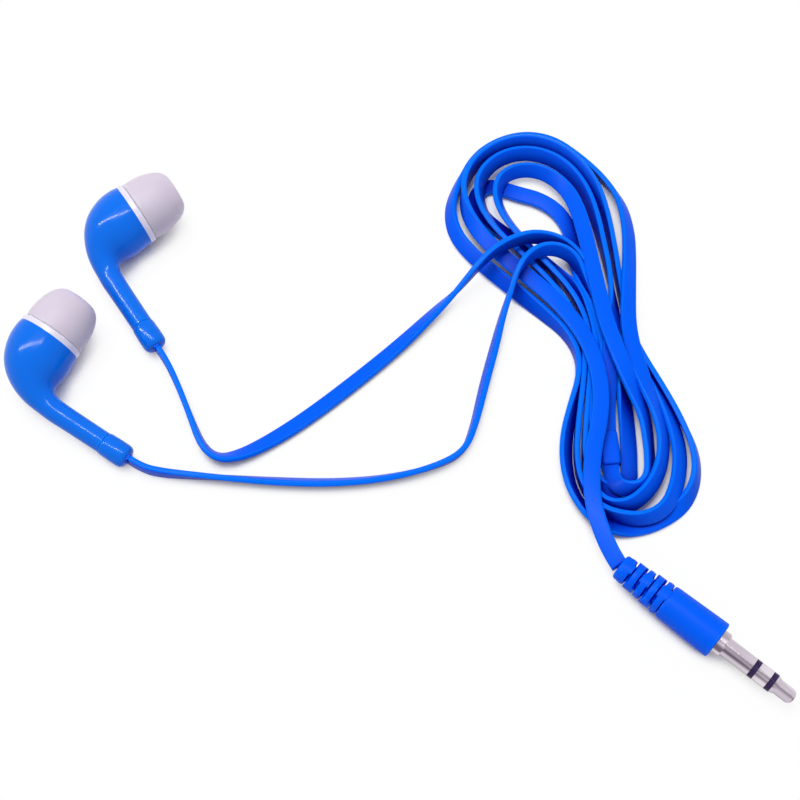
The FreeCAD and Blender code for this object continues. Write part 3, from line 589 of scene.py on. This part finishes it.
def ridge_cell():
    """One ridge and the groove after it, cut at both sides and left whole above and below."""
    rings = []
    for k in range(CELL_STEPS + 1):
        way = (k / CELL_STEPS - 0.5) * RIDGE_PITCH
        from_groove = (RIDGE_PITCH / 2 - abs(way)) / (GROOVE_WIDTH / 2)
        cut = max(0.0, 1 - from_groove ** 4) if from_groove < 1 else 0.0
        shoulder = SHOULDER_DROP * max(0.0, 1 - from_groove / SHOULDER_REACH)
        ring = []
        for j in range(ROUND):
            turn = 2 * math.pi * j / ROUND
            side = min(1.0, max(0.0, (abs(math.sin(turn)) - SPINE_HALF) / SPINE_FADE))
            radius = 1 - side * (GROOVE_DEPTH * cut + shoulder)
            ring.append(Vector((way, radius * math.sin(turn), radius * math.cos(turn))))
        rings.append(ring)
    return shell("ridge_cell", rings, Matrix.Identity(4), False)


def ridge_tree():
    """Geometry nodes: the cell repeated along x, each turned a quarter and grown from the one before."""
    tree = bpy.data.node_groups.new("ridge_row", "GeometryNodeTree")
    sockets = {}
    for label, kind in (("Cell", "NodeSocketGeometry"), ("Count", "NodeSocketInt"),
                        ("Pitch", "NodeSocketFloat"), ("Rear radius", "NodeSocketFloat"),
                        ("Growth", "NodeSocketFloat"), ("Finish", "NodeSocketMaterial")):
        sockets[label] = tree.interface.new_socket(label, in_out="INPUT", socket_type=kind).identifier
    tree.interface.new_socket("Ridges", in_out="OUTPUT", socket_type="NodeSocketGeometry")
    given = node(tree, "NodeGroupInput").outputs
    step = node(tree, "ShaderNodeCombineXYZ", {"X": given["Pitch"]}).outputs[0]
    row = node(tree, "GeometryNodeMeshLine", {"Count": given["Count"], "Offset": step}, mode="OFFSET")
    index = node(tree, "GeometryNodeInputIndex").outputs[0]
    odd = node(tree, "ShaderNodeMath", {0: index, 1: 2.0}, operation="MODULO").outputs[0]
    quarter = node(tree, "ShaderNodeMath", {0: odd, 1: math.pi / 2}, operation="MULTIPLY").outputs[0]
    roll = node(tree, "ShaderNodeCombineXYZ", {"X": quarter}).outputs[0]
    grown = node(tree, "ShaderNodeMath", {0: index, 1: given["Growth"], 2: given["Rear radius"]},
                 operation="MULTIPLY_ADD").outputs[0]
    size = node(tree, "ShaderNodeCombineXYZ", {"X": 1.0, "Y": grown, "Z": grown}).outputs[0]
    placed = node(tree, "GeometryNodeInstanceOnPoints",
                  {"Points": row.outputs["Mesh"], "Instance": given["Cell"], "Rotation": roll, "Scale": size})
    real = node(tree, "GeometryNodeRealizeInstances", {"Geometry": placed.outputs[0]})
    dressed = node(tree, "GeometryNodeSetMaterial",
                   {"Geometry": real.outputs[0], "Material": given["Finish"]})
    node(tree, "NodeGroupOutput", {0: dressed.outputs[0]})
    return tree, sockets


def slotted_grip():
    """Slotted strain relief and the plain body behind the contacts, as one piece."""
    cell = ridge_cell()
    tree, sockets = ridge_tree()
    rows = cell.modifiers.new("ridge_row", "NODES")
    rows.node_group = tree
    growth = (RIDGE_FRONT_R - RIDGE_REAR_R) / (RIDGE_COUNT - 1)
    for label, value in (("Count", RIDGE_COUNT), ("Pitch", RIDGE_PITCH), ("Rear radius", RIDGE_REAR_R),
                         ("Growth", growth), ("Finish", grip_blue)):
        rows[sockets[label]] = value
    ridges = bpy.data.meshes.new_from_object(cell.evaluated_get(bpy.context.evaluated_depsgraph_get()))
    cell.modifiers.remove(rows)
    bpy.data.objects.remove(cell)
    ridges.transform(Matrix.Translation((REAR_LENGTH + RIDGE_PITCH / 2, 0, 0)))
    rear = shell("grip_rear", turned_rings(REAR_OUTLINE), Matrix.Identity(4), False)
    body = shell("grip_body", turned_rings(eased(GRIP_OUTLINE, 3)), Matrix.Identity(4), False)
    whole = bmesh.new()
    for mesh in (ridges, rear.data, body.data):
        whole.from_mesh(mesh)
    piece_mesh = bpy.data.meshes.new("slotted_grip")
    whole.to_mesh(piece_mesh)
    whole.free()
    for part in (rear, body):
        bpy.data.objects.remove(part)
    piece_mesh.transform(Matrix.Translation(Vector(PLUG_PLACE) * MM)
                         @ Matrix.Rotation(math.radians(PLUG_HEADING), 4, "Z") @ Matrix.Scale(MM, 4))
    piece_mesh.shade_smooth()
    piece_mesh.set_sharp_from_angle(angle=SHARP_FROM)
    piece = bpy.data.objects.new("slotted_grip", piece_mesh)
    bpy.context.scene.collection.objects.link(piece)
    return piece


grip = slotted_grip()
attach(grip, "root")
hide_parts("plug_grip")
paint(grip, grip_blue)

# ------------------------------------------------------- the floor and light

FLOOR_HALF = 1.5
FLOOR_Z = -0.0001
FLOOR_REACH = 0.006         # metres within which a neighbour dims the floor's own white
FLOOR_OPEN = (0.34, 0.6)
FLOOR_GLOW = (0.9, 0.9, 0.9)
ROOM_TONE = (0.36, 0.36, 0.38)

floor_mesh = bpy.data.meshes.new("floor")
floor_mesh.from_pydata([(x * FLOOR_HALF, y * FLOOR_HALF, 0) for x, y in ((-1, -1), (1, -1), (1, 1), (-1, 1))],
                       [], [(0, 1, 2, 3)])
floor = bpy.data.objects.new("floor", floor_mesh)
floor.location.z = FLOOR_Z
bpy.context.scene.collection.objects.link(floor)


def background_rays(tree):
    """1 for what sees the plain background: the eye, mirrors and clear plastic."""
    ray = node(tree, "ShaderNodeLightPath").outputs
    mirrored = node(tree, "ShaderNodeMath", {0: ray["Is Glossy Ray"], 1: ray["Is Transmission Ray"]},
                    operation="MAXIMUM")
    return node(tree, "ShaderNodeMath", {0: ray["Is Camera Ray"], 1: mirrored.outputs[0]},
                operation="MAXIMUM").outputs[0]


paper = bpy.data.materials.new("paper_white")
paper.use_nodes = True
tree = paper.node_tree
matt = tree.nodes["Principled BSDF"]
matt.inputs["Base Color"].default_value = (0.9, 0.9, 0.9, 1)
matt.inputs["Roughness"].default_value = 0.9
glow = node(tree, "ShaderNodeEmission", {"Color": (1, 1, 1, 1), "Strength": 1.0})
open_air = node(tree, "ShaderNodeAmbientOcclusion", {"Distance": FLOOR_REACH}, samples=12)
clear_of_cord = ramp(tree, open_air.outputs["AO"], FLOOR_OPEN, BLACK, FLOOR_GLOW)
share = node(tree, "ShaderNodeMath", {0: background_rays(tree), 1: clear_of_cord},
             operation="MULTIPLY")
blended = node(tree, "ShaderNodeMixShader", {0: share.outputs[0], 1: matt.outputs["BSDF"],
                                             2: glow.outputs["Emission"]})
tree.links.new(blended.outputs["Shader"], tree.nodes["Material Output"].inputs["Surface"])
floor_mesh.materials.append(paper)

world = bpy.data.worlds.new("studio")
bpy.context.scene.world = world
world.use_nodes = True
tree = world.node_tree
room = tree.nodes["Background"]
room.inputs["Strength"].default_value = 1.0
tone = blend(tree, background_rays(tree), ROOM_TONE, WHITE)
tree.links.new(tone, room.inputs["Color"])


def soft_lamp(name, place, aim, size, power):
    """A rectangular lamp at a place, facing its aim."""
    lamp = bpy.data.objects.new(name, bpy.data.lights.new(name, "AREA"))
    lamp.data.shape = "RECTANGLE"
    lamp.data.size, lamp.data.size_y = size
    lamp.data.energy = power
    lamp.location = place
    lamp.rotation_euler = (Vector(aim) - Vector(place)).to_track_quat("-Z", "Y").to_euler()
    bpy.context.scene.collection.objects.link(lamp)
    return lamp


# the first lights the shapes without a glint; the second is only a long glint on what is glossy
key_lamp = soft_lamp("key_lamp", (-0.05, 0.1, 0.7), (0.055, 0.0, 0.0), (0.4, 0.4), 4.5)
key_lamp.visible_glossy = False
streak_lamp = soft_lamp("streak_lamp", (-0.12, 0.0, 0.35), (0.0, 0.0, 0.0), (0.012, 0.5), 1.8)
streak_lamp.visible_diffuse = False

bpy.context.scene.view_settings.view_transform = "Standard"
